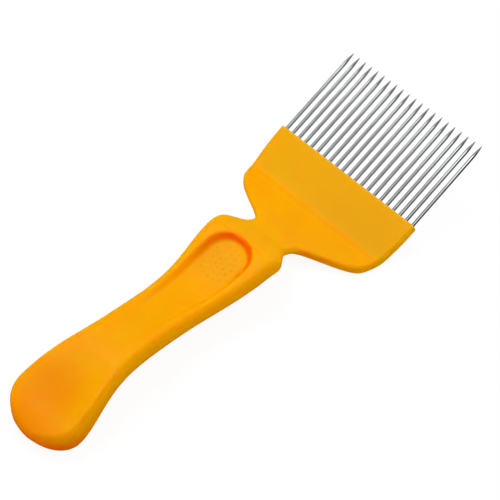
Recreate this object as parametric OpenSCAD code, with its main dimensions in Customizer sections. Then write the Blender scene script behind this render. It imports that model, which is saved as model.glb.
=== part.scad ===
// Uncapping fork for opening honeycomb: a moulded plastic handle whose wide head
// holds one row of straight steel needles.
// X runs from the butt of the handle to the needle points, Y runs across, Z is up.
// The fork lies on two flats, one under the crease of the head and one under the butt.
// Distances "behind the front edge" are measured along X from the top front edge of
// the head towards the butt.

/* [Needles] */
// Number of needles in the row
needle_count = 21; // [5:1:31]
// Diameter of a needle
needle_d = 1.3; // [0.8:0.1:2]
// Distance between the centres of neighbouring needles
needle_pitch = 3.22; // [2.6:0.02:5]
// Length of a needle in front of the head
needle_out = 39.1; // [20:0.5:60]
// Length of a needle held inside the head
needle_in = 10; // [8:0.5:11]
// Length of the ground point
point_len = 5; // [2:0.5:12]
// Diameter left at the very tip
tip_d = 0.2; // [0.1:0.05:0.5]
// Angle at which the front plate and the needles rise
rise = 24.9; // [5:1:32]
// Gap between a needle and its socket in the head
socket_gap = 0.01; // [0.01:0.01:0.05]

/* [Head] */
// Plastic beside each outer needle at the front face
head_wall = 0.85; // [0.8:0.05:5]
// Thickness of the front plate
head_t = 5; // [3.6:0.1:8]
// Distance of the crease behind the front edge
plate_len = 18; // [18:0.5:26]
// Height of the crease above the table
crease_h = 4.4; // [4:0.1:7]
// Slope at which the top rises behind the crease
crease_kick = 0.12; // [0:0.01:0.3]
// Distance behind the front edge at which the rear corners of the head start
wing_at = 22.2; // [20:0.2:28]
// How far each side of the head has narrowed where its rear corner starts
head_taper = 2.9; // [0:0.1:2.9]
// Length of the hollow fillet in front of the crease
crease_fillet = 4; // [1:0.5:6]
// Chamfer round the front face
front_chamfer = 0.5; // [0.2:0.1:1]
// Rounding of the head's edges
head_edge_r = 1.2; // [0.6:0.1:2]

/* [Neck and shoulders] */
// Distance behind the front edge at which the neck starts
neck_at = 39; // [36:0.5:42]
// Length of the neck
neck_len = 3.3; // [1:0.1:5]
// Width of the neck between the two finger notches
neck_w = 20; // [14:0.2:26]
// Thickness at the neck
neck_t = 4.9; // [4.6:0.1:9]
// Distance behind the front edge at which the handle is as wide as its shoulders
wide_at = 51.5; // [49:0.5:54]
// Distance of the shoulders' highest line behind the front edge
shoulder_at = 55.8; // [54:0.5:62]
// Width across the shoulders
shoulder_w = 30; // [26:0.2:38]
// Height of the top at the shoulders above the table
shoulder_h = 20.5; // [14:0.2:28]
// Thickness at the shoulders
shoulder_t = 9.8; // [8:0.2:13]

/* [Grip] */
// Length of the handle from the front edge to the end of the butt
handle_len = 155.7; // [126:1:190]
// Distance of the lowest part of the grip behind the front edge
grip_at = 81; // [76:1:90]
// Height of the top at the lowest part of the grip above the table
grip_h = 16.5; // [13:0.2:24]
// Thickness at the lowest part of the grip
grip_t = 9.2; // [7:0.2:12]
// Distance of the waist behind the front edge
waist_at = 103.4; // [96:1:112]
// Width of the waist
waist_w = 20.3; // [16:0.2:26]
// Distance of the crest behind the front edge
crest_at = 117.4; // [105:1:120]
// Height of the crest above the table
crest_h = 19.5; // [15:0.2:27]
// Thickness at the crest
crest_t = 10.2; // [8:0.2:13]
// Rounding of the handle's top edges
top_edge_r = 2.6; // [1.2:0.1:3.4]
// Rounding of the handle's lower edges
under_edge_r = 3.6; // [1.2:0.1:4]

/* [Thumb recess] */
// Depth of the recess under the thumb
recess_depth = 3; // [1:0.1:4]
// Width of the rim beside the round end of the recess
recess_rim = 5; // [3.5:0.1:8]
// Width of the rim beside the tail of the recess
tail_rim = 3.5; // [2.7:0.1:5]
// Distance of the centre of the round end behind the front edge
recess_at = 63.4; // [62:0.1:68]
// Length over which the tail of the recess fades out
recess_fade = 45; // [25:1:50]
// Width of the sloping wall of the recess
recess_wall = 2.6; // [2:0.1:6]

/* [Butt] */
// Width of the butt
butt_w = 29.8; // [24:0.2:38]
// Thickness of the butt
butt_t = 12; // [9:0.2:16]
// Length of the butt's round end
butt_round = 11.4; // [8:0.5:20]
// Depth of the shallow dish on top of the butt
dish_depth = 1.2; // [0:0.1:2]
// Length of the dish
dish_len = 30; // [20:1:36]

/* [Rest] */
// How much is planed off below to make the two flats it lies on
land_cut = 0.3; // [0.1:0.05:0.6]

/* [Hidden] */
PLASTIC = [0.99, 0.66, 0.04];
STEEL = [0.78, 0.79, 0.80];

$fn = 48;
slack = 1;
head_w = (needle_count - 1) * needle_pitch + needle_d + 2 * head_wall;
butt_at = handle_len - butt_round;
butt_low_at = handle_len - 0.5 * butt_round;
tip_reach = needle_out * cos(rise) + 0.5 * head_t * sin(rise);
mid_x = (handle_len - tip_reach) / 2;
front_h = crease_h + tan(rise) * (plate_len - crease_fillet / 2);
recess_r = shoulder_w / 2 - recess_rim;
tail_r = waist_w / 2 - tail_rim;

// How sharply each stretch of the outline and the side profile leaves its first station
TAPER_POWER = 2.2;
WING_SKEW = 1.15;
GRIP_SKEW = 1.55;
BUTT_SKEW = 1.4;
RAMP_SKEW = 1.5;
DIP_SKEW = 0.7;
ARCH_SKEW = 1.3;

// Share of the thickness lost in the butt's round end that is lost from above
END_DROP = 0.55;

// Rings along the handle and points along each part of a ring
PLATE_RINGS = 9;
NECK_STEP = 1;
GRIP_STEP = 2;
BUTT_STEP = 2.6;
END_RINGS = 9;
TOP_POINTS = 20;
UNDER_POINTS = 6;
EDGE_POINTS = 4;

function clamp(t) = min(1, max(0, t));
function ease(t) = let (c = clamp(t)) c * c * (3 - 2 * c);
function lerp(a, b, t) = a + (b - a) * t;
function blend(a, b, from, to, at, skew = 1) =
    lerp(a, b, ease(pow(clamp((at - from) / (to - from)), skew)));
function digits(i) = i < 10 ? str("0", i) : str(i);
function needle_name(i) = str("needle_", digits(i));

// Round end of the butt: 1 where it starts, 0 at the very end
function end_round(back) =
    back <= butt_at ? 1 : sqrt(max(0, 1 - pow((back - butt_at) / butt_round, 2)));

// Half of the handle's width at a distance behind the front edge
function half_w(back) =
    back <= neck_at
        ? blend(head_w / 2 - head_taper * pow(back / wing_at, TAPER_POWER), neck_w / 2,
                wing_at, neck_at, back, WING_SKEW)
    : back <= shoulder_at
        ? blend(neck_w / 2, shoulder_w / 2, neck_at + neck_len, wide_at, back)
    : back <= waist_at
        ? blend(waist_w / 2, shoulder_w / 2, waist_at, shoulder_at, back, GRIP_SKEW)
    : blend(waist_w / 2, butt_w / 2, waist_at, butt_at, back, BUTT_SKEW) * end_round(back);

// Height of the top on the centre line, before the recess and the dish are sunk
function plate_line(ahead) =
    ahead <= crease_fillet
        ? crease_h + tan(rise) * pow(max(0, ahead), 2) / (2 * crease_fillet)
        : crease_h + tan(rise) * (ahead - crease_fillet / 2);
function top_h(back) =
    back <= plate_len ? plate_line(plate_len - back)
    : back <= shoulder_at
        ? blend(crease_h, shoulder_h, plate_len, shoulder_at, back, RAMP_SKEW)
            + crease_kick * (back - plate_len)
                * pow(1 - (back - plate_len) / (shoulder_at - plate_len), 3)
    : back <= grip_at
        ? blend(shoulder_h, grip_h, shoulder_at, grip_at, back, DIP_SKEW)
    : back <= crest_at ? blend(grip_h, crest_h, grip_at, crest_at, back)
    : blend(crest_h, butt_t, crest_at, butt_low_at, back, BUTT_SKEW);

// Height of the underside, before the two flats are planed
function under_h(back) =
    back <= neck_at
        ? top_h(back) - blend(crease_h + land_cut, neck_t, plate_len, neck_at, back)
    : back <= shoulder_at
        ? top_h(back) - blend(neck_t, shoulder_t, neck_at, shoulder_at, back)
    : back <= grip_at ? top_h(back) - blend(shoulder_t, grip_t, shoulder_at, grip_at, back)
    : back <= crest_at ? top_h(back) - blend(grip_t, crest_t, grip_at, crest_at, back)
    : blend(crest_h - crest_t, -land_cut, crest_at, butt_at, back, ARCH_SKEW);
function plate_under(ahead) =
    max(-land_cut, crease_h + tan(rise) * (ahead - crease_fillet / 2) - head_t / cos(rise));

// Half width of the recess, which follows the narrowing handle to its tail
function recess_half(back) =
    back < recess_at
        ? sqrt(max(0, pow(recess_r, 2) - pow(recess_at - back, 2)))
        : blend(tail_r, recess_r, recess_at + recess_fade, recess_at, back);
function recess_inside(back, y) =
    back < recess_at ? recess_r - norm([recess_at - back, y]) : recess_half(back) - abs(y);
function recess_dip(back, y) =
    recess_depth
    * (1 - ease((back - recess_at) / recess_fade))
    * ease(recess_inside(back, y) / recess_wall);

// Shallow dish, deepest at its middle
function dish_dip(back, y) =
    let (
        along = (back - (handle_len - 5 - dish_len / 2)) / (dish_len / 2),
        across = y / (half_w(back) - 0.5 * top_edge_r)
    )
    dish_depth * ease(1 - along * along) * clamp(1 - across * across);

// Rounding of the edges, which swells from the head to the handle
function edge_r(head_r, handle_r, back) =
    blend(head_r, handle_r, plate_len, shoulder_at, back)
    * (back > butt_at ? sqrt(end_round(back)) : 1);
function flank(back) = (half_w(back + 0.1) - half_w(back - 0.1)) / 0.2;
function edge_reach(r, back) =
    min(r * min(2.6, norm([1, back < butt_at ? flank(back) : 0])), 0.9 * half_w(back));

// Ends of a ring: [x and z of its top, x and z of its underside]
function ring_ends(back) =
    back >= plate_len
        ? let (
            thick = top_h(back) - under_h(back),
            lost = thick * (1 - pow(end_round(back), 0.7))
        )
        [[-back, top_h(back) - END_DROP * lost], [-back, under_h(back) + (1 - END_DROP) * lost]]
        : let (under_x = -back + head_t * sin(rise) * (1 - back / plate_len))
        [[-back, plate_line(plate_len - back)], [under_x, plate_under(plate_len + under_x)]];

// Upper right quarter of a ring as [y, drop below the top]
function edge_arc(w, r, reach) =
    [for (k = [0:EDGE_POINTS])
        let (a = 90 * k / EDGE_POINTS) [w - reach + reach * cos(a), r - r * sin(a)]];

// Closed ring of [y, height] round the section at a distance behind the front edge
function ring_outline(back) =
    let (
        w = half_w(back),
        ends = ring_ends(back),
        thick = ends[0][1] - ends[1][1],
        rt = min(edge_r(head_edge_r, top_edge_r, back), 0.42 * thick),
        ru = min(edge_r(head_edge_r, under_edge_r, back), 0.5 * thick),
        top_arc = edge_arc(w, rt, edge_reach(rt, back)),
        under_arc = edge_arc(w, ru, edge_reach(ru, back)),
        flat_w = w - edge_reach(rt, back),
        under_w = w - edge_reach(ru, back)
    )
    concat(
        [for (p = top_arc) [p[0], ends[0][1] - p[1]]],
        [for (k = [1:TOP_POINTS - 1])
            let (y = flat_w * (1 - 2 * k / TOP_POINTS))
            [y, ends[0][1] - recess_dip(back, y) - dish_dip(back, y)]],
        [for (k = [EDGE_POINTS:-1:0]) [-top_arc[k][0], ends[0][1] - top_arc[k][1]]],
        [for (p = under_arc) [-p[0], ends[1][1] + p[1]]],
        [for (k = [1:UNDER_POINTS - 1]) [-under_w * (1 - 2 * k / UNDER_POINTS), ends[1][1]]],
        [for (k = [EDGE_POINTS:-1:0]) [under_arc[k][0], ends[1][1] + under_arc[k][1]]]
    );

// The ring in space: its points lie on the line from its top end to its lower end
function ring(back) =
    let (ends = ring_ends(back), thick = ends[0][1] - ends[1][1])
    [for (p = ring_outline(back))
        let (drop = (ends[0][1] - p[1]) / thick)
        [lerp(ends[0][0], ends[1][0], drop), p[0], p[1]]];

// The front face: the first ring drawn in by the chamfer and moved to the front edge
function front_ring() =
    let (
        chamfer_back = front_chamfer * cos(rise),
        ends = ring_ends(chamfer_back),
        middle = (ends[0] + ends[1]) / 2,
        along = [cos(rise), sin(rise)],
        shrink_y = 1 - front_chamfer / half_w(chamfer_back),
        shrink_h = 1 - 2 * front_chamfer / head_t
    )
    [for (p = ring(chamfer_back))
        let (flat = middle + ([p[0], p[2]] - middle) * shrink_h + along * front_chamfer)
        [flat[0], p[1] * shrink_y, flat[1]]];

// Distances behind the front edge at which rings are set
STATIONS = concat(
    [for (k = [0:PLATE_RINGS - 1])
        lerp(front_chamfer * cos(rise), plate_len, k / PLATE_RINGS)],
    [for (b = [plate_len:NECK_STEP:shoulder_at - 0.01]) b],
    [for (b = [shoulder_at:GRIP_STEP:waist_at - 0.01]) b],
    [for (b = [waist_at:BUTT_STEP:butt_at - 0.01]) b],
    [for (k = [0:END_RINGS - 1]) butt_at + butt_round * sin(88 * k / (END_RINGS - 1))]
);

module handle_skin() {
    rings = concat([front_ring()], [for (b = STATIONS) ring(b)]);
    n = len(rings[0]);
    last = len(rings) - 1;
    polyhedron(
        points = [for (r = rings) each r],
        faces = concat(
            [[for (k = [n - 1:-1:0]) k]],
            [for (i = [0:last - 1], k = [0:n - 1])
                each let (a = i * n + k, b = i * n + (k + 1) % n)
                [[a, b, b + n], [a, b + n, a + n]]],
            [[for (k = [0:n - 1]) last * n + k]]
        )
    );
}

// Puts its children at the front face of the plate, with +Z along needle i
module at_needle(i) {
    translate([
        0.5 * head_t * sin(rise),
        ((needle_count + 1) / 2 - i) * needle_pitch,
        front_h - 0.5 * head_t * cos(rise)
    ])
        rotate([0, 90 - rise, 0])
            children();
}

// Moves the fork so that the middle of its footprint is the origin
module placed() {
    translate([mid_x, 0, 0]) children();
}

module handle() {
    color(PLASTIC)
        placed()
            difference() {
                handle_skin();
                translate([-handle_len - slack, -head_w, -4 * slack])
                    cube([handle_len + 2 * slack, 2 * head_w, 4 * slack]);
                for (i = [1:needle_count])
                    at_needle(i)
                        translate([0, 0, -needle_in - socket_gap])
                            cylinder(d = needle_d + 2 * socket_gap, h = needle_in + slack);
            }
}

module needle(i) {
    color(STEEL)
        placed()
            at_needle(i)
                rotate_extrude()
                    polygon([
                        [0, -needle_in],
                        [needle_d / 2, -needle_in],
                        [needle_d / 2, needle_out - point_len],
                        [needle_d / 3, needle_out - 0.45 * point_len],
                        [tip_d / 2, needle_out],
                        [0, needle_out]
                    ]);
}

handle();
for (i = [1:needle_count])
    needle(i);
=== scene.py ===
"""Uncapping fork: a moulded plastic handle with one row of polished steel needles.

The handle is modelled as a blank that is cut at stations along its length, drawn to the
width and the side profile at each one, rounded along its edges and then sunk at the thumb
recess and the dish. The needles are modelled once and copied along the front face.
"""

import logging
import math
from dataclasses import dataclass
from enum import Enum
from typing import Callable, Optional, Sequence, Union

import bmesh
import bpy
from mathutils import Matrix, Vector


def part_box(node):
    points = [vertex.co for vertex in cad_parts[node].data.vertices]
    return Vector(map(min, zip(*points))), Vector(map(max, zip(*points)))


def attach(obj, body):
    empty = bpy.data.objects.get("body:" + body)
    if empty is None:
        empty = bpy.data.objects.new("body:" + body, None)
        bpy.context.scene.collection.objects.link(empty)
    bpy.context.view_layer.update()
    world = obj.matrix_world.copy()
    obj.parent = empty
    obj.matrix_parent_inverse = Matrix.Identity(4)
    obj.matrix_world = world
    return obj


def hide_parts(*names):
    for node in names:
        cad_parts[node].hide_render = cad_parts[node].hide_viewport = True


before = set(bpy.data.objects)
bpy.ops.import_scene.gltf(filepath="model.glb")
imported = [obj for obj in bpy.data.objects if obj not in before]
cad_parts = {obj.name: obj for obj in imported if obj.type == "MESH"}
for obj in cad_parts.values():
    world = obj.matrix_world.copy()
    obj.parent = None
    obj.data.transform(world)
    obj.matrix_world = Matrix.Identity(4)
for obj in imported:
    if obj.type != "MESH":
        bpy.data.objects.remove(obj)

LOG = logging.getLogger("uncapping_fork")
MM = 0.001
NEAR = 1e-5  # places closer than this are one place
SLIVER = 1e-6  # the smallest length that counts
BODY = "root"


# --------------------------------------------------------------------------- modelling


class Bench:
    """One mesh piece on the bench, shaped with edit-mode operators."""

    UPWARD = 0.3  # a face whose normal rises more than this is a top one

    def __init__(self, piece: bpy.types.Object) -> None:
        """Takes a mesh object and opens it in edit mode."""
        self.piece = piece
        self.open()

    @staticmethod
    def clear() -> None:
        """Leaves edit mode and deselects every object."""
        if bpy.context.object and bpy.context.object.mode != "OBJECT":
            bpy.ops.object.mode_set(mode="OBJECT")
        bpy.ops.object.select_all(action="DESELECT")

    @classmethod
    def blank(cls, name: str, low: Vector, high: Vector) -> "Bench":
        """Adds a box between two corners.

        Args:
            name: Name of the piece.
            low: Its lowest corner.
            high: Its highest corner.

        Returns:
            The bench that holds the box.
        """
        cls.clear()
        bpy.ops.mesh.primitive_cube_add(size=1, location=(low + high) / 2, scale=high - low)
        bpy.ops.object.transform_apply(location=True, rotation=True, scale=True)
        bpy.context.object.name = name
        return cls(bpy.context.object)

    def open(self) -> None:
        """Makes the piece active, alone selected and in edit mode."""
        self.clear()
        self.piece.select_set(True)
        bpy.context.view_layer.objects.active = self.piece
        bpy.ops.object.mode_set(mode="EDIT")

    def close(self) -> bpy.types.Object:
        """Leaves edit mode and returns the piece."""
        bpy.ops.object.mode_set(mode="OBJECT")
        return self.piece

    def pick_verts(self, test: Callable[[Vector], bool]) -> None:
        """Selects the vertices whose place passes a test, and nothing else.

        Args:
            test: Says whether a vertex at that place is selected.
        """
        bpy.ops.mesh.select_mode(type="VERT")
        shape = bmesh.from_edit_mesh(self.piece.data)
        for vert in shape.verts:
            vert.select = test(vert.co)
        shape.select_flush_mode()
        bmesh.update_edit_mesh(self.piece.data)

    def pick_edges(self, test: Callable[[Vector, Vector], bool]) -> None:
        """Selects the edges whose two ends pass a test, and nothing else.

        Args:
            test: Says whether an edge between those places is selected.
        """
        bpy.ops.mesh.select_mode(type="EDGE")
        bpy.ops.mesh.select_all(action="DESELECT")
        shape = bmesh.from_edit_mesh(self.piece.data)
        for edge in shape.edges:
            edge.select = test(edge.verts[0].co, edge.verts[1].co)
        bmesh.update_edit_mesh(self.piece.data)

    def cut(self, place: Vector, normal: Vector, **options: bool) -> None:
        """Cuts the whole piece with a plane, given by a point, its normal and what is cleared."""
        bpy.ops.mesh.select_all(action="SELECT")
        bpy.ops.mesh.bisect(plane_co=place, plane_no=normal, threshold=SLIVER, **options)

    def weigh_edges(self, kind: str, weight: Callable[[Vector, Vector], float]) -> None:
        """Sets every edge's weight for the modifiers.

        Args:
            kind: Name of the weight, for bevels or for creases.
            weight: Gives the weight of an edge between two places.
        """
        shape = bmesh.from_edit_mesh(self.piece.data)
        layers = shape.edges.layers.float
        layer = layers.get(kind) or layers.new(kind)
        for edge in shape.edges:
            edge[layer] = weight(edge.verts[0].co, edge.verts[1].co)
        bmesh.update_edit_mesh(self.piece.data)

    def modify(self, kind: str, **settings: Union[str, float, int, bool]) -> None:
        """Adds a modifier with the given settings and applies it.

        Args:
            kind: The modifier's type.
            **settings: Its properties.
        """
        self.close()
        step = self.piece.modifiers.new(kind.lower(), kind)
        for name, value in settings.items():
            setattr(step, name, value)
        bpy.ops.object.modifier_apply(modifier=step.name)
        self.open()

    def sink(self, depth: float, share: Callable[[Vector], float]) -> None:
        """Sinks the upward faces along Z.

        Args:
            depth: The greatest depth.
            share: Gives the share of the depth at a place, from 0 to 1.
        """
        self.close()
        group = self.piece.vertex_groups.new(name="sunk")
        for vert in self.piece.data.vertices:
            amount = share(vert.co) if vert.normal.z > self.UPWARD else 0.0
            if amount > 0:
                group.add([vert.index], amount, "REPLACE")
        self.modify("DISPLACE", direction="Z", mid_level=0.0, strength=-depth, vertex_group="sunk")
        self.piece.vertex_groups.clear()

    def smooth(self, angle: float) -> None:
        """Shades the piece smooth, but for edges sharper than an angle in degrees."""
        self.close()
        bpy.ops.object.shade_smooth_by_angle(angle=math.radians(angle))


def copied(piece: bpy.types.Object, shift: Vector) -> bpy.types.Object:
    """Copies a piece, with a mesh of its own.

    Args:
        piece: The piece to copy.
        shift: How far from it the copy lies.

    Returns:
        The copy.
    """
    other = piece.copy()
    other.data = piece.data.copy()
    other.data.transform(Matrix.Translation(shift))
    bpy.context.collection.objects.link(other)
    return other


def hand_over(
    piece: bpy.types.Object, material: bpy.types.Material, node: Optional[str] = None
) -> None:
    """Dresses a finished piece and places it in the frame.

    Args:
        piece: The piece.
        material: Its finish.
        node: The CAD node that the piece replaces, if there is one.
    """
    piece.data.materials.clear()
    piece.data.materials.append(material)
    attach(piece, BODY)
    if node:
        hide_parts(node)
    LOG.info("%s: %d faces", piece.name, len(piece.data.polygons))


# ------------------------------------------------------------------------------ easing


def clamp(t: float) -> float:
    """Returns t held between 0 and 1."""
    return min(1.0, max(0.0, t))


def ease(t: float) -> float:
    """Returns a smooth step from 0 to 1."""
    t = clamp(t)
    return t * t * (3 - 2 * t)


def lerp(a: float, b: float, t: float) -> float:
    """Returns the value a share t of the way from a to b."""
    return a + (b - a) * t


def blend(
    a: float, b: float, span: tuple[float, float], at: float, skew: float = 1, soft: float = 0
) -> float:
    """Blends smoothly from a to b over a stretch of the handle.

    Args:
        a: Value at the start of the stretch.
        b: Value at its end.
        span: Where the stretch starts and ends.
        at: Where the value is wanted.
        skew: Above 1 the blend leaves a slowly, below 1 quickly.
        soft: Share of the stretch over which a quick start is softened.

    Returns:
        The blended value.
    """
    t = clamp((at - span[0]) / (span[1] - span[0]))
    start = soft**skew
    return lerp(a, b, ease(((t + soft) ** skew - start) / ((1 + soft) ** skew - start)))


# ------------------------------------------------------------------------------ handle


class Side(Enum):
    """Which half of a ring is meant."""

    TOP = 1
    UNDER = -1


@dataclass(frozen=True)
class Profile:
    """The handle's outline and side profile, in metres behind its top front edge.

    A skew above 1 makes a stretch leave its start slowly, and one below 1 quickly.
    """

    middle: float
    head_half: float
    length: float = 155.7 * MM
    rise: float = math.radians(24.9)
    head_taper: float = 2.9 * MM
    taper_power: float = 2.2
    wing_at: float = 22.2 * MM
    wing_skew: float = 1.15
    neck_at: float = 39.0 * MM
    neck_end: float = 42.3 * MM
    neck_half: float = 10.0 * MM
    neck_thick: float = 4.9 * MM
    wide_at: float = 51.5 * MM
    shoulder_at: float = 55.8 * MM
    shoulder_half: float = 15.0 * MM
    shoulder_top: float = 20.5 * MM
    shoulder_thick: float = 9.8 * MM
    ramp_skew: float = 1.5
    grip_at: float = 81.0 * MM
    grip_top: float = 16.5 * MM
    grip_thick: float = 9.2 * MM
    grip_skew: float = 0.7
    grip_soft: float = 0.12
    waist_at: float = 103.4 * MM
    waist_half: float = 10.15 * MM
    waist_skew: float = 1.55
    crest_at: float = 117.4 * MM
    crest_top: float = 19.5 * MM
    crest_thick: float = 10.2 * MM
    butt_half: float = 14.9 * MM
    butt_thick: float = 12.0 * MM
    butt_round: float = 11.4 * MM
    butt_skew: float = 1.4
    under_skew: float = 1.3
    last_turn: float = math.radians(88)
    plate_thick: float = 5.0 * MM
    plate_len: float = 18.0 * MM
    crease_top: float = 4.4 * MM
    crease_fillet: float = 4.0 * MM
    crease_kick: float = 0.12
    land: float = 0.3 * MM
    head_edge: float = 1.2 * MM
    top_edge: float = 2.6 * MM
    top_edge_share: float = 0.42
    under_edge: float = 3.6 * MM
    under_edge_share: float = 0.5
    end_drop: float = 0.55
    end_power: float = 0.7

    @classmethod
    def from_box(cls, low: Vector, high: Vector) -> "Profile":
        """Places the profile in the handle's box, given by its two corners."""
        last = cls.length - cls.butt_round * (1 - math.sin(cls.last_turn))
        return cls(middle=low.x + last, head_half=(high.y - low.y) / 2)

    @property
    def butt_at(self) -> float:
        """Where the round end of the butt starts."""
        return self.length - self.butt_round

    def back(self, x: float) -> float:
        """Distance behind the top front edge of a place x."""
        return self.middle - x

    def round_end(self, back: float) -> float:
        """1 up to the round end of the butt, falling to 0 at the very end."""
        past = max(0.0, (back - self.butt_at) / self.butt_round)
        return math.sqrt(max(0.0, 1 - past * past))

    def half_width(self, back: float) -> float:
        """Half the width of the handle.

        Args:
            back: Where, as a distance behind the front edge.

        Returns:
            Half the width.
        """
        neck, shoulder, waist = self.neck_half, self.shoulder_half, self.waist_half
        if back <= self.neck_at:
            taper = max(0.0, back / self.wing_at) ** self.taper_power
            wing = self.head_half - self.head_taper * taper
            return blend(wing, neck, (self.wing_at, self.neck_at), back, self.wing_skew)
        if back <= self.shoulder_at:
            return blend(neck, shoulder, (self.neck_end, self.wide_at), back)
        if back <= self.waist_at:
            span = (self.waist_at, self.shoulder_at)
            return blend(waist, shoulder, span, back, self.waist_skew)
        span = (self.waist_at, self.butt_at)
        return blend(waist, self.butt_half, span, back, self.butt_skew) * self.round_end(back)

    def plate_top(self, ahead: float) -> float:
        """Height of the top of the front plate.

        Args:
            ahead: Where, as a distance ahead of the crease.

        Returns:
            The height.
        """
        slope = math.tan(self.rise)
        if ahead <= self.crease_fillet:
            return self.crease_top + slope * max(0.0, ahead) ** 2 / (2 * self.crease_fillet)
        return self.crease_top + slope * (ahead - self.crease_fillet / 2)

    def top(self, back: float) -> float:
        """Height of the top, before anything is sunk into it.

        Args:
            back: Where, as a distance behind the front edge.

        Returns:
            The height.
        """
        if back <= self.plate_len:
            return self.plate_top(self.plate_len - back)
        if back <= self.shoulder_at:
            span = (self.plate_len, self.shoulder_at)
            ramp = blend(self.crease_top, self.shoulder_top, span, back, self.ramp_skew)
            past = back - self.plate_len
            return ramp + self.crease_kick * past * (1 - past / (span[1] - span[0])) ** 3
        if back <= self.grip_at:
            span = (self.shoulder_at, self.grip_at)
            ends = (self.shoulder_top, self.grip_top)
            return blend(*ends, span, back, self.grip_skew, self.grip_soft)
        if back <= self.crest_at:
            return blend(self.grip_top, self.crest_top, (self.grip_at, self.crest_at), back)
        span = (self.crest_at, self.length - self.butt_round / 2)
        return blend(self.crest_top, self.butt_thick, span, back, self.butt_skew)

    def under(self, back: float) -> float:
        """Height of the underside, before the two flats are planed.

        Args:
            back: Where, as a distance behind the front edge.

        Returns:
            The height.
        """
        if back <= self.neck_at:
            thick = (self.crease_top + self.land, self.neck_thick)
            return self.top(back) - blend(*thick, (self.plate_len, self.neck_at), back)
        if back <= self.shoulder_at:
            thick = (self.neck_thick, self.shoulder_thick)
            return self.top(back) - blend(*thick, (self.neck_at, self.shoulder_at), back)
        if back <= self.grip_at:
            thick = (self.shoulder_thick, self.grip_thick)
            return self.top(back) - blend(*thick, (self.shoulder_at, self.grip_at), back)
        if back <= self.crest_at:
            thick = (self.grip_thick, self.crest_thick)
            return self.top(back) - blend(*thick, (self.grip_at, self.crest_at), back)
        crest = self.crest_top - self.crest_thick
        return blend(crest, -self.land, (self.crest_at, self.butt_at), back, self.under_skew)

    def ring(self, back: float) -> tuple[Vector, Vector]:
        """Places on the centre line of a ring's top and of its underside.

        Args:
            back: Where the ring's top lies behind the front edge.

        Returns:
            The top place and the place under it.
        """
        x = self.middle - back
        if back >= self.plate_len:
            top, under = self.top(back), self.under(back)
            lost = (top - under) * (1 - self.round_end(back) ** self.end_power)
            from_top = self.end_drop * lost
            return Vector((x, 0, top - from_top)), Vector((x, 0, under + lost - from_top))
        lean = self.plate_thick * math.sin(self.rise) * (1 - back / self.plate_len)
        ahead = self.plate_len - back + lean
        slope = math.tan(self.rise) * (ahead - self.crease_fillet / 2)
        under = self.crease_top + slope - self.plate_thick / math.cos(self.rise)
        return (
            Vector((x, 0, self.plate_top(self.plate_len - back))),
            Vector((x + lean, 0, max(-self.land, under))),
        )

    def edge(self, back: float, side: Side) -> float:
        """Radius of the long edges of a ring.

        Args:
            back: Where the ring lies.
            side: The top edges or the lower ones.

        Returns:
            The radius.
        """
        top, under = self.ring(back)
        full, share = self.under_edge, self.under_edge_share
        if side is Side.TOP:
            full, share = self.top_edge, self.top_edge_share
        radius = blend(self.head_edge, full, (self.plate_len, self.shoulder_at), back)
        return min(radius * math.sqrt(self.round_end(back)), share * (top.z - under.z))


@dataclass(frozen=True)
class Recess:
    """The recess under the thumb, round in front and fading out towards the butt."""

    profile: Profile
    depth: float = 3.0 * MM
    centre: float = 63.4 * MM
    rim: float = 5.0 * MM
    tail_rim: float = 3.5 * MM
    fade: float = 45.0 * MM
    wall: float = 2.6 * MM

    @property
    def radius(self) -> float:
        """Radius of the round end."""
        return self.profile.shoulder_half - self.rim

    def inside(self, back: float, y: float) -> float:
        """How far a place lies inside the rim of the recess.

        Args:
            back: Where, as a distance behind the front edge.
            y: How far it is to the side.

        Returns:
            The distance to the rim, below 0 outside the recess.
        """
        if back < self.centre:
            return self.radius - math.hypot(self.centre - back, y)
        tail = self.profile.waist_half - self.tail_rim
        half = blend(tail, self.radius, (self.centre + self.fade, self.centre), back)
        return half - abs(y)

    def fading(self, back: float) -> float:
        """Share of the depth that is left as the recess fades out."""
        return 1 - ease((back - self.centre) / self.fade)

    def share(self, place: Vector) -> float:
        """Share of the full depth at a place."""
        back = self.profile.back(place.x)
        return self.fading(back) * ease(self.inside(back, place.y) / self.wall)

    def front_share(self, back: float) -> float:
        """1 at the round front end, falling to 0 one radius behind its centre."""
        return clamp((self.centre + self.radius - back) / (2 * self.radius))

    def steepness(self, place: Vector) -> float:
        """How steep the wall of the recess is.

        Args:
            place: A place on the handle.

        Returns:
            1 half way down the wall, and 0 on the rim and on the floor.
        """
        back = self.profile.back(place.x)
        down = ease(self.inside(back, place.y) / self.wall)
        return self.fading(back) * 4 * down * (1 - down)


@dataclass(frozen=True)
class Dish:
    """The shallow dish on top of the butt."""

    profile: Profile
    depth: float = 1.2 * MM
    length: float = 30.0 * MM
    margin: float = 5.0 * MM

    def share(self, place: Vector) -> float:
        """How deep the dish is.

        Args:
            place: A place on the handle.

        Returns:
            The share of the full depth.
        """
        back = self.profile.back(place.x)
        half = self.length / 2
        along = (back - (self.profile.length - self.margin - half)) / half
        width = max(SLIVER, self.profile.half_width(back) - self.profile.top_edge / 2)
        return ease(1 - along * along) * clamp(1 - (place.y / width) ** 2)


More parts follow.
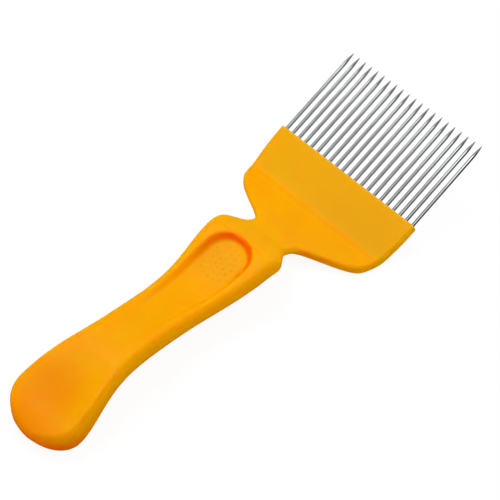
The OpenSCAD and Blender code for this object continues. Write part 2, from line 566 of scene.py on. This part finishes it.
@dataclass
class ThumbDots:
    """Low round dots on the floor of the recess, in rings round its middle."""

    recess: Recess
    centre: float = 65.0 * MM
    pitch: float = 2.3 * MM
    rings: int = 3
    diameter: float = 1.0 * MM
    height: float = 0.16 * MM
    segments: int = 16

    def places(self) -> list[Vector]:
        """Places of the dots on the floor of the recess.

        Returns:
            The middle one first, then each ring.
        """
        profile = self.recess.profile
        found = []
        for ring in range(self.rings + 1):
            count = max(1, 6 * ring)
            for k in range(count):
                turn = 2 * math.pi * k / count
                back = self.centre + ring * self.pitch * math.cos(turn)
                spot = Vector((profile.middle - back, ring * self.pitch * math.sin(turn), 0))
                spot.z = profile.top(back) - self.recess.depth * self.recess.share(spot)
                found.append(spot)
        return found

    def build(self) -> bpy.types.Object:
        """Models one dot, copies it to every place and joins the copies.

        Returns:
            The piece with all the dots.
        """
        places = self.places()
        first = places[0]
        Bench.clear()
        bpy.ops.mesh.primitive_uv_sphere_add(
            segments=self.segments, ring_count=self.segments // 2,
            radius=self.diameter / 2, location=first,
        )
        bpy.ops.object.transform_apply(location=True, rotation=True, scale=True)
        bench = Bench(bpy.context.object)
        bpy.ops.mesh.select_all(action="SELECT")
        flat = 2 * self.height / self.diameter
        bpy.ops.transform.resize(value=(1, 1, flat), center_override=first)
        dot = bench.close()
        copies = [copied(dot, place - first) for place in places[1:]]
        Bench.clear()
        for piece in [dot] + copies:
            piece.select_set(True)
        bpy.context.view_layer.objects.active = dot
        bpy.ops.object.join()
        bpy.ops.object.shade_smooth()
        dot.name = "thumb_dots"
        return dot

    def dress(self, piece: bpy.types.Object) -> None:
        """Gives the dots their finish and their place in the frame."""
        hand_over(piece, MouldedPlastic("raised_dots", glow=0.0).make())


@dataclass(frozen=True)
class PaintedShading:
    """Painted shade and light: a darker, redder colour painted where shade falls on the recess walls,
    in the dish, along the crease, on the sides and at the butt end, and a duller, yellower tint
    painted on the head plate for how it is lit.
    """

    recess: Recess
    dish: Dish
    # Strengths of the painted shade: recess walls at the front and tail and leaning to one side, the
    # dish and its shift, the crease line, the sides and the butt end; then the reach of the painted
    # light on the head plate.
    front_mark: float = 1.6
    tail_mark: float = 0.12
    wall_slant: float = 0.3
    dish_mark: float = 0.36
    dish_shift: float = 7.0 * MM
    crease_mark: float = 0.1
    crease_width: float = 0.6 * MM
    side_mark: float = 0.25
    end_mark: float = 1.2
    end_reach: float = 22.0 * MM
    plate_light_reach: float = 3.0 * MM

    def painted_shade(self, place: Vector) -> float:
        """How much painted shade there is at a place, on the recess walls, in the dish, along the
        crease, on the sides and towards the butt end.

        Args:
            place: A place on the handle.

        Returns:
            The share of the painted shade colour, 0 where the plain colour shows.
        """
        p = self.recess.profile
        back = p.back(place.x)
        mark = 0.0
        if place.z > p.top(back) - p.top_edge - self.recess.depth:
            # Painted shade on the recess walls, stronger at the round front end and on the -Y side.
            wall = lerp(self.tail_mark, self.front_mark, self.recess.front_share(back))
            wall *= 1 - self.wall_slant * place.y / self.recess.radius
            # Painted shade in the dish, moved towards the butt end, and a narrow painted shade line
            # along the crease.
            ahead = Vector((place.x + self.dish_shift, place.y - self.dish_shift / 4, place.z))
            crease = clamp(1 - abs(back - p.plate_len) / self.crease_width)
            mark += wall * self.recess.steepness(place)
            mark += self.dish_mark * self.dish.share(ahead) + self.crease_mark * crease
        elif back > p.shoulder_at:
            # Painted shade on the sides behind the shoulders.
            mark += self.side_mark
        # Painted shade on the butt end, darker lower down and nearer the end.
        near_end = ease((back - p.length + self.end_reach) / self.end_reach)
        return mark + self.end_mark * near_end * clamp(1 - place.z / p.butt_thick)

    def plate_light_share(self, place: Vector) -> float:
        """Share of the painted light on the head plate: 1 on the plate, falling to 0 at the crease
        behind it.
        """
        p = self.recess.profile
        return ease((p.plate_len - p.back(place.x)) / self.plate_light_reach)

    def write(self, piece: bpy.types.Object) -> None:
        """Writes the painted shade and the painted light on the head plate on the points of a piece,
        for its material.

        Args:
            piece: The handle.
        """
        # The first attribute holds the painted shade, the second the painted light on the head plate.
        for name, mark in (("hollow", self.painted_shade), ("painted_plate_light", self.plate_light_share)):
            layer = piece.data.attributes.new(name, "FLOAT", "POINT")
            for point, entry in zip(piece.data.vertices, layer.data):
                entry.value = mark(point.co)


@dataclass
class Handle:
    """The handle: one solid moulding."""

    profile: Profile
    plate_step: float = 1.5 * MM
    neck_step: float = 1.0 * MM
    grip_step: float = 2.0 * MM
    end_rings: int = 12
    end_cap: float = 0.1 * MM
    overhang: float = 1.0 * MM
    columns: int = 16
    narrowest: float = 1.5 * MM
    chamfer: float = 0.5 * MM
    bevel_steps: int = 5
    sharp_angle: float = 30.0

    def stations(self) -> list[float]:
        """Distances behind the front edge at which the blank is cut.

        Returns:
            The stations from the front to the very end of the butt.
        """
        p = self.profile
        stretches = [
            (0.0, p.plate_len, self.plate_step),
            (p.plate_len, p.shoulder_at, self.neck_step),
            (p.shoulder_at, p.butt_at, self.grip_step),
        ]
        found: list[float] = []
        for start, end, step in stretches:
            count = round((end - start) / step)
            found += [lerp(start, end, k / count) for k in range(count)]
        turn = [p.last_turn * k / (self.end_rings - 1) for k in range(self.end_rings)]
        return found + [p.butt_at + p.butt_round * math.sin(a) for a in turn]

    def draw_rings(self, bench: Bench, width: float, height: float) -> None:
        """Draws each ring of the blank to the width and height of its station.

        Args:
            bench: The blank, already cut at the stations.
            width: Half the blank's width.
            height: The blank's height.
        """
        p = self.profile
        for back in self.stations():
            x = p.middle - back
            top, under = p.ring(back)
            bench.pick_verts(lambda v: abs(v.x - x) < NEAR)
            share = p.half_width(back) / width
            bpy.ops.transform.resize(value=(1, share, 1), center_override=(x, 0, 0))
            bench.pick_verts(lambda v: abs(v.x - x) < NEAR and v.z > height / 2)
            bpy.ops.transform.translate(value=(0, 0, top.z - height))
            bench.pick_verts(lambda v: abs(v.x - x) < NEAR and abs(v.z) < SLIVER)
            bpy.ops.transform.translate(value=(under.x - x, 0, under.z))

    def along(self, back: float) -> float:
        """Holds a distance behind the front edge between 0 and the handle's length."""
        return min(self.profile.length, max(0, back))

    def on_top(self, place: Vector) -> bool:
        """Says whether a corner of a ring is one of its two top corners."""
        back = self.along(self.profile.back(place.x))
        return abs(place.z - self.profile.ring(back)[0].z) < NEAR

    def edge_weight(self, a: Vector, b: Vector) -> float:
        """Bevel weight of an edge: its radius as a share of the largest one.

        Args:
            a: One end of the edge.
            b: Its other end.

        Returns:
            The weight, 0 for an edge that isn't rounded.
        """
        p = self.profile
        backs = sorted((p.back(a.x), p.back(b.x)))
        top_ends = self.on_top(a), self.on_top(b)
        across = a.y * b.y < 0
        at_front = backs[1] < SLIVER
        at_end = backs[0] > p.length - self.end_cap
        if top_ends[0] != top_ends[1] or (across and not at_end):
            return self.chamfer / p.under_edge if at_front else 0.0
        side = Side.TOP if top_ends[0] else Side.UNDER
        return p.edge(self.along(sum(backs) / 2), side) / p.under_edge

    def crease_weight(self, a: Vector, b: Vector) -> float:
        """Crease weight of an edge, which keeps the valley line across the head crisp.

        Args:
            a: One end of the edge.
            b: Its other end.

        Returns:
            1 for an edge of the valley line, 0 for any other.
        """
        p = self.profile
        at_line = all(abs(p.back(v.x) - p.plate_len) < NEAR for v in (a, b))
        return 1.0 if at_line and min(a.z, b.z) > p.crease_top / 2 else 0.0

    def cut_blank(self) -> Bench:
        """Cuts a plain box into rings, one at each station, and closes its far end.

        Returns:
            The bench that holds the blank.
        """
        p = self.profile
        low = Vector((p.middle - p.length - self.overhang, -p.head_half, 0))
        high = Vector((p.middle, p.head_half, p.shoulder_top))
        bench = Bench.blank("handle_moulding", low, high)
        stations = self.stations()
        for back in stations[1:]:
            bench.cut(Vector((p.middle - back, 0, 0)), Vector((1, 0, 0)))
        end = p.middle - stations[-1]
        bench.pick_verts(lambda v: v.x < end - NEAR)
        bpy.ops.mesh.delete(type="VERT")
        bench.pick_edges(lambda a, b: max(abs(end - v.x) for v in (a, b)) < NEAR)
        bpy.ops.mesh.edge_face_add()
        return bench

    def round_edges(self, bench: Bench) -> None:
        """Rounds the long edges, each ring by its own radius, and breaks the front ones.

        Args:
            bench: The blank with its rings drawn.
        """
        bench.weigh_edges("bevel_weight_edge", self.edge_weight)
        bench.modify(
            "BEVEL", width=self.profile.under_edge, limit_method="WEIGHT",
            segments=self.bevel_steps, use_clamp_overlap=False, loop_slide=False,
        )

    def add_columns(self, bench: Bench) -> None:
        """Cuts the wide top and underside into columns that run along the handle.

        Args:
            bench: The rounded blank.
        """

        def spans(a: Vector, b: Vector) -> bool:
            """Says whether an edge runs straight across the flat of a wide ring."""
            straight = abs(a.x - b.x) < NEAR and abs(a.y + b.y) < NEAR
            return straight and a.y * b.y < 0 and abs(a.y) > self.narrowest

        bench.pick_edges(spans)
        bpy.ops.mesh.subdivide(number_cuts=self.columns - 1)

    def build(self) -> bpy.types.Object:
        """Models the handle.

        Returns:
            The finished piece.
        """
        p = self.profile
        recess, dish = Recess(p), Dish(p)
        bench = self.cut_blank()
        self.draw_rings(bench, p.head_half, p.shoulder_top)
        self.round_edges(bench)
        self.add_columns(bench)
        bench.weigh_edges("crease_edge", self.crease_weight)
        bench.modify("SUBSURF", levels=1, render_levels=1)
        for hollow in (recess, dish):
            bench.sink(hollow.depth, hollow.share)
        bench.modify("SUBSURF", levels=1, render_levels=1)
        bench.cut(Vector((0, 0, 0)), Vector((0, 0, 1)), use_fill=True, clear_inner=True)
        bench.smooth(self.sharp_angle)
        # Writes the painted shade and the painted light on the head plate as point attributes.
        PaintedShading(recess, dish).write(bench.piece)
        return bench.piece

    def dress(self, piece: bpy.types.Object) -> None:
        """Gives the handle its finish and its place in the frame."""
        hand_over(piece, MouldedPlastic().make(), "handle")


# ----------------------------------------------------------------------------- needles


@dataclass
class NeedleRow:
    """The row of straight needles, moulded into the front face of the head."""

    names: list[str]
    rise: float
    diameter: float = 1.3 * MM
    point: float = 5.0 * MM
    tip: float = 0.2 * MM
    point_power: float = 1.5
    sides: int = 32
    point_rings: int = 10
    sharp_angle: float = 40.0

    def model(self, start: Vector, length: float) -> bpy.types.Object:
        """Models one needle along its own line.

        Args:
            start: Centre of its held end.
            length: Its whole length.

        Returns:
            The needle, in its place.
        """
        radius = self.diameter / 2
        shank = length - self.point
        Bench.clear()
        bpy.ops.mesh.primitive_cylinder_add(
            vertices=self.sides, radius=radius, depth=shank,
            location=start + Vector((0, 0, shank / 2)),
        )
        bpy.ops.object.transform_apply(location=True, rotation=True, scale=True)
        bench = Bench(bpy.context.object)
        bench.pick_verts(lambda v: v.z > start.z + shank - NEAR)
        done = 0.0
        for k in range(1, self.point_rings + 1):
            along = self.point * k / self.point_rings
            width = self.point_radius(along) / self.point_radius(done)
            bpy.ops.mesh.extrude_region_move(
                TRANSFORM_OT_translate={"value": (0, 0, along - done)}
            )
            centre = (start.x, start.y, start.z + shank + along)
            bpy.ops.transform.resize(value=(width, width, 1), center_override=centre)
            done = along
        piece = bench.close()
        turn = Matrix.Rotation(math.pi / 2 - self.rise, 4, "Y")
        piece.data.transform(Matrix.Translation(start) @ turn @ Matrix.Translation(-start))
        return piece

    def point_radius(self, along: float) -> float:
        """Radius of the ground point at a distance past the shank."""
        last = self.tip / 2
        return last + (self.diameter / 2 - last) * (1 - (along / self.point) ** self.point_power)

    def build(self) -> list[bpy.types.Object]:
        """Models the first needle and copies it for the rest of the row.

        Returns:
            The needles, in the order of their names.
        """
        across = Vector((math.sin(self.rise), 0, math.cos(self.rise))) * self.diameter / 2
        boxes = [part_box(name) for name in self.names]
        starts = [Vector((low.x, (low.y + high.y) / 2, low.z)) + across for low, high in boxes]
        length = (boxes[0][1].x - starts[0].x) / math.cos(self.rise)
        first = self.model(starts[0], length)
        pieces = [first] + [copied(first, start - starts[0]) for start in starts[1:]]
        for piece, name in zip(pieces, self.names):
            piece.name = "steel_" + name
            Bench(piece).smooth(self.sharp_angle)
        return pieces

    def dress(self, pieces: list[bpy.types.Object]) -> None:
        """Gives the needles their finish and their places in the frame.

        Args:
            pieces: The needles, in the order of their names.
        """
        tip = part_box(self.names[0])[1]
        reach = tip.x * math.cos(self.rise) + tip.z * math.sin(self.rise)
        steel = DrawnSteel(self.rise, reach, self.point).make()
        for piece, name in zip(pieces, self.names):
            hand_over(piece, steel, name)


# ---------------------------------------------------------------------------- finishes


@dataclass(frozen=True)
class Expr:
    """A value in a material, on which arithmetic adds Math nodes."""

    graph: "Graph"
    socket: bpy.types.NodeSocket

    def math(self, operation: str, *values: Union["Expr", float]) -> "Expr":
        """Returns the result of a Math node with the given operation and inputs."""
        inputs = dict(enumerate(values))
        return self.graph.node("ShaderNodeMath", {"operation": operation}, inputs)

    def __add__(self, other: Union["Expr", float]) -> "Expr":
        """Adds."""
        return self.math("ADD", self, other)

    __radd__ = __add__

    def __sub__(self, other: Union["Expr", float]) -> "Expr":
        """Subtracts."""
        return self.math("SUBTRACT", self, other)

    def __rsub__(self, other: Union["Expr", float]) -> "Expr":
        """Subtracts this value from another."""
        return self.math("SUBTRACT", other, self)

    def __mul__(self, other: Union["Expr", float]) -> "Expr":
        """Multiplies."""
        return self.math("MULTIPLY", self, other)

    __rmul__ = __mul__

    def ramp(self, low: float, high: float) -> "Expr":
        """Rises smoothly from 0 to 1.

        Args:
            low: The value where it starts.
            high: The value where it ends.

        Returns:
            The result.
        """
        settings = {"interpolation_type": "SMOOTHSTEP"}
        inputs = {"Value": self, "From Min": low, "From Max": high}
        return self.graph.node("ShaderNodeMapRange", settings, inputs)


class Graph:
    """The node tree of one finish, or of the surroundings."""

    def __init__(self, tree: bpy.types.NodeTree) -> None:
        """Takes a node tree and empties it."""
        self.tree = tree
        tree.nodes.clear()

    def output(self, kind: str, surface: Expr) -> None:
        """Puts a shader on a new output node of the given type."""
        out = self.tree.nodes.new(kind)
        self.tree.links.new(surface.socket, out.inputs["Surface"])

    def node(
        self,
        kind: str,
        settings: dict[str, object],
        inputs: dict[Union[str, int], object],
        output: Union[str, int] = 0,
    ) -> Expr:
        """Adds a node.

        Args:
            kind: The node's type.
            settings: Its properties, set before its inputs.
            inputs: Values or links of its sockets.
            output: The output that is wanted.

        Returns:
            That output.
        """
        made = self.tree.nodes.new(kind)
        for name, value in settings.items():
            setattr(made, name, value)
        for name, value in inputs.items():
            if isinstance(value, Expr):
                self.tree.links.new(value.socket, made.inputs[name])
            else:
                made.inputs[name].default_value = value
        return Expr(self, made.outputs[output])

    def place(self, turn: float = 0.0, stretch: Sequence[float] = (1, 1, 1)) -> Expr:
        """The place on the object, turned about Y and stretched.

        Args:
            turn: Angle about Y.
            stretch: Scale of each axis after the turn.

        Returns:
            The coordinates.
        """
        spot = self.node("ShaderNodeTexCoord", {}, {}, "Object")
        turned = self.node(
            "ShaderNodeVectorRotate", {"rotation_type": "Y_AXIS"}, {"Vector": spot, "Angle": turn}
        )
        return self.node(
            "ShaderNodeVectorMath", {"operation": "MULTIPLY"}, {0: turned, 1: tuple(stretch)}
        )

    def attribute(self, name: str) -> Expr:
        """Reads a value that is written on the points of the piece."""
        return self.node("ShaderNodeAttribute", {"attribute_name": name}, {}, "Fac")

    def noise(self, place: Expr, scale: float, detail: float = 2.0) -> Expr:
        """Adds a noise pattern.

        Args:
            place: Where it is read.
            scale: Features per metre.
            detail: How many finer layers it has.

        Returns:
            The pattern, about 0.5 on average.
        """
        return self.node(
            "ShaderNodeTexNoise", {}, {"Vector": place, "Scale": scale, "Detail": detail}
        )

    def mix_colors(
        self, share: Expr, first: Union[Expr, Sequence[float]], second: Sequence[float]
    ) -> Expr:
        """Returns a mix of two colours, by the share of the second one."""
        settings = {"data_type": "RGBA"}
        return self.node("ShaderNodeMix", settings, {0: share, 6: first, 7: second}, 2)

    def bump(self, height: Expr, depth: float, under: Union[Expr, None] = None) -> Expr:
        """Raises the surface by a pattern.

        Args:
            height: The pattern.
            depth: Its depth in metres.
            under: A bump that this one lies on.

        Returns:
            The normal.
        """
        inputs: dict[Union[str, int], object] = {"Height": height, "Distance": depth}
        if under:
            inputs["Normal"] = under
        return self.node("ShaderNodeBump", {}, inputs)

    def principled(self, **sockets: object) -> None:
        """Puts a Principled shader on the output.

        Args:
            **sockets: Its inputs, with _ for each blank in their names.
        """
        inputs = {name.replace("_", " "): value for name, value in sockets.items()}
        shader = self.node("ShaderNodeBsdfPrincipled", {}, inputs)
        self.output("ShaderNodeOutputMaterial", shader)


def new_material(name: str) -> bpy.types.Material:
    """Makes a material with a node tree.

    Args:
        name: Its name.

    Returns:
        The material.
    """
    material = bpy.data.materials.new(name)
    material.use_nodes = True
    return material


def linear(red: float, green: float, blue: float) -> tuple[float, float, float, float]:
    """Turns a colour as seen into the linear one that a shader takes.

    Args:
        red: Its red part, from 0 to 1.
        green: Its green part.
        blue: Its blue part.

    Returns:
        The linear colour with an alpha of 1.
    """

    def part(c: float) -> float:
        """Turns one part."""
        return c / 12.92 if c <= 0.04045 else ((c + 0.055) / 1.055) ** 2.4

    return part(red), part(green), part(blue), 1.0


@dataclass(frozen=True)
class MouldedPlastic:
    """Satin injection-moulded polypropylene with a faint mottle and orange peel."""

    name: str = "orange_polypropylene"
    color: tuple[float, float, float] = (0.992, 0.675, 0.0)
    deep: tuple[float, float, float] = (0.985, 0.655, 0.0)
    # Painted shade colour, deep red-orange, for the recess walls, dish, crease, sides and butt end.
    hollow: tuple[float, float, float] = (0.99, 0.43, 0.0)
    # Painted light colour for the head plate, duller and yellower.
    painted_plate_light: tuple[float, float, float] = (0.925, 0.685, 0.0)
    mottle_scale: float = 60.0
    mottle_range: tuple[float, float] = (0.35, 0.7)
    roughness: float = 0.33
    roughness_scale: float = 130.0
    roughness_swing: float = 0.10
    peel_scale: float = 450.0
    peel_depth: float = 0.035 * MM
    grain_scale: float = 5200.0
    grain_depth: float = 0.006 * MM
    grain_roughness: float = 0.05
    ior: float = 1.46
    gloss: float = 0.13
    glow: float = 1.0
    glow_spread: tuple[float, float, float] = (1.0, 0.22, 0.03)
    glow_depth: float = 4.0 * MM

    def make(self) -> bpy.types.Material:
        """Makes the material.

        Returns:
            The finished material.
        """
        material = new_material(self.name)
        g = Graph(material.node_tree)
        place = g.place()
        mottle = g.noise(place, self.mottle_scale, 3).ramp(*self.mottle_range)
        color = g.mix_colors(mottle, linear(*self.color), linear(*self.deep))
        # Painted shade from the hollow attribute, then painted light on the head plate.
        color = g.mix_colors(g.attribute("hollow"), color, linear(*self.hollow))
        color = g.mix_colors(g.attribute("painted_plate_light"), color, linear(*self.painted_plate_light))
        peel = g.noise(place, self.peel_scale)
        grain = g.noise(place, self.grain_scale)
        swing = self.roughness_swing * (g.noise(place, self.roughness_scale, 4) - 0.5)
        normal = g.bump(grain, self.grain_depth, g.bump(peel, self.peel_depth))
        g.principled(
            Base_Color=color, Roughness=self.roughness + swing + self.grain_roughness * grain,
            Normal=normal, IOR=self.ior, Specular_IOR_Level=self.gloss,
            Subsurface_Weight=self.glow, Subsurface_Radius=self.glow_spread,
            Subsurface_Scale=self.glow_depth,
        )
        return material


@dataclass(frozen=True)
class DrawnSteel:
    """Bright drawn stainless wire, ground at the point."""

    rise: float
    tip: float
    point: float
    name: str = "bright_steel_wire"
    color: tuple[float, float, float] = (0.80, 0.81, 0.82)
    ground: tuple[float, float, float] = (0.62, 0.62, 0.63)
    ground_from: float = 1.1
    ground_to: float = 0.7
    roughness: float = 0.06
    ground_roughness: float = 0.16
    line_scale: float = 14000.0
    line_stretch: float = 0.04
    line_depth: float = 0.0003 * MM
    cloud_scale: float = 500.0
    swing: float = 0.02

    def make(self) -> bpy.types.Material:
        """Makes the material.

        Returns:
            The finished material.
        """
        material = new_material(self.name)
        g = Graph(material.node_tree)
        place = g.place(turn=self.rise)
        along = g.node("ShaderNodeSeparateXYZ", {}, {"Vector": place}, "X")
        start, end = (self.tip - k * self.point for k in (self.ground_from, self.ground_to))
        ground = along.ramp(start, end)
        drawn = g.place(turn=self.rise, stretch=(self.line_stretch, 1, 1))
        lines = g.noise(drawn, self.line_scale)
        cloud = g.noise(place, self.cloud_scale, 3)
        rough = self.roughness + self.swing * lines + self.swing * (cloud - 0.5)
        g.principled(
            Base_Color=g.mix_colors(ground, linear(*self.color), linear(*self.ground)),
            Metallic=1.0, Roughness=rough + self.ground_roughness * ground,
            Normal=g.bump(lines, self.line_depth),
        )
        return material


# ------------------------------------------------------------------------------ studio


def toward(azimuth: float, elevation: float) -> Vector:
    """Unit vector to a place round the fork: azimuth 0 is on -Y and 90 on +X, in degrees."""
    a, e = math.radians(azimuth), math.radians(elevation)
    return Vector((math.sin(a) * math.cos(e), -math.cos(a) * math.cos(e), math.sin(e)))


@dataclass(frozen=True)
class View:
    """The camera's place round the fork, with angles in degrees."""

    azimuth: float = -47.80
    elevation: float = 52.68
    roll: float = 3.84
    distance: float = 553.9 * MM
    aim: tuple[float, float, float] = (14.84 * MM, 5.29 * MM, 0.08 * MM)
    lens: float = 108.8
    sensor: float = 36.0

    def add(self) -> None:
        """Adds the camera and makes it the scene's own."""
        data = bpy.data.cameras.new("camera")
        data.lens, data.sensor_width = self.lens, self.sensor
        data.clip_start, data.clip_end = 0.01, 100.0
        camera = bpy.data.objects.new("camera", data)
        bpy.context.collection.objects.link(camera)
        back = toward(self.azimuth, self.elevation)
        level = Vector((0, 0, 1)).cross(back).normalized()
        right = Matrix.Rotation(math.radians(self.roll), 3, back) @ level
        axes = Matrix((right, back.cross(right), back)).transposed().to_4x4()
        camera.matrix_world = Matrix.Translation(Vector(self.aim) + self.distance * back) @ axes
        bpy.context.scene.camera = camera


@dataclass(frozen=True)
class Softbox:
    """A soft square lamp that faces the fork, and either lights it or shines in it."""

    name: str
    azimuth: float
    elevation: float
    size: float
    watts: float
    shines: bool = False
    distance: float = 0.9

    def add(self) -> None:
        """Adds the lamp."""
        data = bpy.data.lights.new(self.name, "AREA")
        data.shape, data.size, data.energy = "SQUARE", self.size, self.watts
        lamp = bpy.data.objects.new(self.name, data)
        bpy.context.collection.objects.link(lamp)
        lamp.visible_glossy = self.shines
        lamp.visible_diffuse = not self.shines
        away = toward(self.azimuth, self.elevation)
        lamp.location = away * self.distance
        lamp.rotation_euler = away.to_track_quat("Z", "Y").to_euler()


@dataclass(frozen=True)
class Flag:
    """A dark card that only reflections see: it draws the dark line along each needle."""

    name: str
    low: Vector
    high: Vector
    shade: float

    def add(self) -> None:
        """Adds the card between its two corners, upright or lying."""
        Bench.clear()
        bpy.ops.mesh.primitive_plane_add(size=1)
        card = bpy.context.object
        card.name = self.name
        size = self.high - self.low
        stand = Matrix.Rotation(math.pi / 2, 4, "X") if size.z > size.y else Matrix()
        tall = max(size.y, size.z)
        shape = Matrix.Diagonal((size.x, tall, 1, 1))
        card.data.transform(Matrix.Translation((self.low + self.high) / 2) @ stand @ shape)
        material = new_material("dark_card")
        g = Graph(material.node_tree)
        dull = g.node("ShaderNodeBsdfDiffuse", {}, {"Color": (self.shade,) * 3 + (1,)})
        g.output("ShaderNodeOutputMaterial", dull)
        card.data.materials.append(material)
        card.visible_camera = False
        card.visible_diffuse = False
        card.visible_shadow = False
        card.visible_transmission = False


def seen_rays(g: Graph) -> Expr:
    """Finds the rays that show the background itself.

    Args:
        g: The node tree of the floor or of the surroundings.

    Returns:
        1 where it is seen directly, in metal or through glass, 0 where it only lights.
    """
    kinds = ("Is Camera Ray", "Is Glossy Ray", "Is Transmission Ray")
    camera, glossy, through = (g.node("ShaderNodeLightPath", {}, {}, kind) for kind in kinds)
    return camera.math("MAXIMUM", camera, glossy.math("MAXIMUM", glossy, through))


@dataclass(frozen=True)
class Studio:
    """White table, pale surroundings, soft lamps and the cards round them."""

    table: float = 12.0
    table_shade: float = 0.85
    glow: float = 0.9
    glow_strength: float = 1.03
    surround: float = 0.23
    surround_shade: float = 0.8
    card_reach: float = 1.5
    card_lift: float = 0.02 * MM
    card_shade: float = 0.01
    front: float = -0.6
    front_top: float = 0.85
    back: float = 0.7
    back_top: float = 1.1
    high_top: float = 1.7
    high_end: float = -0.42

    def lamps(self) -> list[Softbox]:
        """The lamps round the fork, two of which only reflections see.

        Returns:
            The lamps.
        """
        return [
            Softbox("key", azimuth=174, elevation=67, size=0.38, watts=3.5),
            Softbox("sheen", azimuth=170, elevation=66, size=0.3, watts=0.65, shines=True),
            Softbox("glint", azimuth=-90, elevation=80, size=0.26, watts=0.5, shines=True),
            Softbox("back", azimuth=170, elevation=30, size=0.5, watts=1.1),
            Softbox("side", azimuth=250, elevation=20, size=0.5, watts=2.0),
            Softbox("fill", azimuth=32, elevation=54, size=0.6, watts=3.9),
        ]

    def cards(self) -> list[Flag]:
        """The dark cards: one in front, one lying and two behind, one above the other.

        Returns:
            The cards.
        """
        left, right = -self.card_reach, self.card_reach
        front, back, lift = self.front, self.back, self.card_lift

        def card(name: str, low: Sequence[float], high: Sequence[float], shade: float) -> Flag:
            """Makes a card from its name, its two corners and its shade."""
            return Flag(name, Vector(low), Vector(high), shade)

        return [
            card("front_card", (left, front, 0), (right, front, self.front_top), 0.0),
            card("lying_card", (left, front, lift), (right, back, lift), self.card_shade),
            card("back_card", (left, back, 0), (right, back, self.back_top), 0.0),
            card("high_card", (self.high_end, back, self.back_top), (right, back, self.high_top), 0.0),
        ]

    def add_table(self) -> None:
        """Adds the table, which keeps the fork's shadow but looks white."""
        Bench.clear()
        bpy.ops.mesh.primitive_plane_add(size=self.table)
        table = bpy.context.object
        table.name = "table"
        material = new_material("white_table")
        g = Graph(material.node_tree)
        white = g.node("ShaderNodeBsdfDiffuse", {}, {"Color": (self.table_shade,) * 3 + (1,)})
        glow = g.node("ShaderNodeEmission", {}, {"Strength": self.glow_strength})
        share = seen_rays(g) * self.glow
        shown = g.node("ShaderNodeMixShader", {}, {0: share, 1: white, 2: glow})
        g.output("ShaderNodeOutputMaterial", shown)
        table.data.materials.append(material)

    def add_surround(self) -> None:
        """Makes the surroundings pale where they are seen and dimmer where they only light."""
        world = bpy.data.worlds.new("surround")
        bpy.context.scene.world = world
        world.use_nodes = True
        g = Graph(world.node_tree)
        strength = self.surround + (1 - self.surround) * seen_rays(g)
        shade = (self.surround_shade,) * 3 + (1,)
        sky = g.node("ShaderNodeBackground", {}, {"Color": shade, "Strength": strength})
        g.output("ShaderNodeOutputWorld", sky)

    def add(self) -> None:
        """Adds everything round the fork."""
        self.add_table()
        self.add_surround()
        for part in self.lamps() + self.cards():
            part.add()


# -------------------------------------------------------------------------------- fork


def main() -> None:
    """Builds the studio, the handle with its dots, and the needles."""
    logging.basicConfig(level=logging.INFO, format="%(message)s")
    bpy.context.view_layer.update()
    bpy.context.scene.view_settings.view_transform = "Standard"
    View().add()
    Studio().add()

    profile = Profile.from_box(*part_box("handle"))
    needles = sorted(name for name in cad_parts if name.startswith("needle_"))
    for assembly in (
        Handle(profile),
        ThumbDots(Recess(profile)),
        NeedleRow(needles, profile.rise),
    ):
        assembly.dress(assembly.build())


if __name__ == "__main__":
    main()
